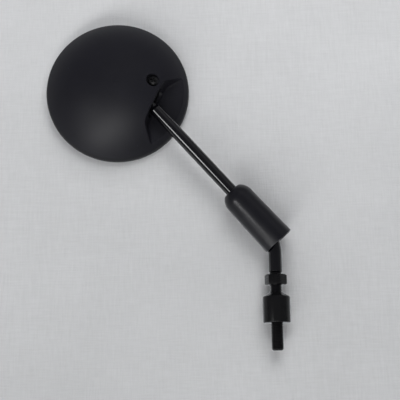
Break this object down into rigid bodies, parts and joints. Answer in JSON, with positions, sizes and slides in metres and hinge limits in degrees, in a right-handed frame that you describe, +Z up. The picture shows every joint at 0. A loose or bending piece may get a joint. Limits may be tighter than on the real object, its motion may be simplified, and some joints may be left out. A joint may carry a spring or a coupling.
{
  "type": "motorcycle mirror",
  "caption": "Round motorcycle mirror with a domed black back, ball-jointed head, straight stem, rubber boot over a swivel joint, bent lower stem and a threaded stud mount.",
  "frame": {"origin": "centre of the thread adapter's lower shoulder, where the stud leaves it", "axes": "-Z along the stud, +Z up, the stem leans to -X, the domed back faces -Y and the glass faces +Y"},
  "size_m": [0.2068, 0.038, 0.287],
  "materials": {
    "adapter_black": "satin black plated, turned",
    "nut_black": "satin black plated",
    "stem_paint": "gloss black powder coat",
    "boot_rubber": "smooth moulded black",
    "shell_plastic": "satin black with a fine moulded grain",
    "bezel_plastic": "satin black",
    "screw_black": "black plated",
    "silvered_glass": "convex silvered glass",
    "gasket_rubber": "soft black",
    "cup_nylon": "black nylon",
    "inner_steel": "plain zinc plated"
  },
  "bodies": {
    "base": {"thread_adapter": "adapter_black"},
    "lower_arm": {"lower_stem": "stem_paint", "joint_socket": "inner_steel", "joint_washer": "inner_steel", "joint_nut": "inner_steel"},
    "lock_nut": {"lock_nut": "nut_black"},
    "upper_arm": {"upper_stem": "stem_paint", "stem_cone": "inner_steel", "pivot_ball": "screw_black", "boot": "boot_rubber"},
    "ball_cups": {"rear_ball_cup": "cup_nylon", "front_ball_cup": "cup_nylon"},
    "head": {"mirror_shell": "shell_plastic", "rim_bezel": "bezel_plastic", "mirror_glass": "silvered_glass", "glass_gasket": "gasket_rubber", "clamp_plate": "screw_black", "clamp_screw": "screw_black", "clamp_washer": "inner_steel", "clamp_nut": "inner_steel"}
  },
  "joints": [
    {"name": "stem_turn", "type": "hinge", "parent": "base", "child": "lower_arm", "pos_m": [0, 0, 0.025], "axis": [0, 0, 1], "range_deg": [-180, 180]},
    {"name": "lock_nut_turn", "type": "hinge", "parent": "lower_arm", "child": "lock_nut", "pos_m": [0, 0, 0.0354], "axis": [0, 0, 1], "continuous": true},
    {"name": "arm_swivel", "type": "hinge", "parent": "lower_arm", "child": "upper_arm", "pos_m": [0, 0, 0.0715], "axis": [-0.6652, 0, 0.7466], "range_deg": [-180, 180]},
    {"name": "head_tilt", "type": "hinge", "parent": "upper_arm", "child": "ball_cups", "pos_m": [-0.10664, 0, 0.19119], "axis": [0.7466, 0, 0.6652], "range_deg": [-4.5, 4.5]},
    {"name": "head_pan", "type": "hinge", "parent": "ball_cups", "child": "head", "pos_m": [-0.10664, 0, 0.19119], "axis": [0, 1, 0], "range_deg": [-11, 57]}
  ]
}
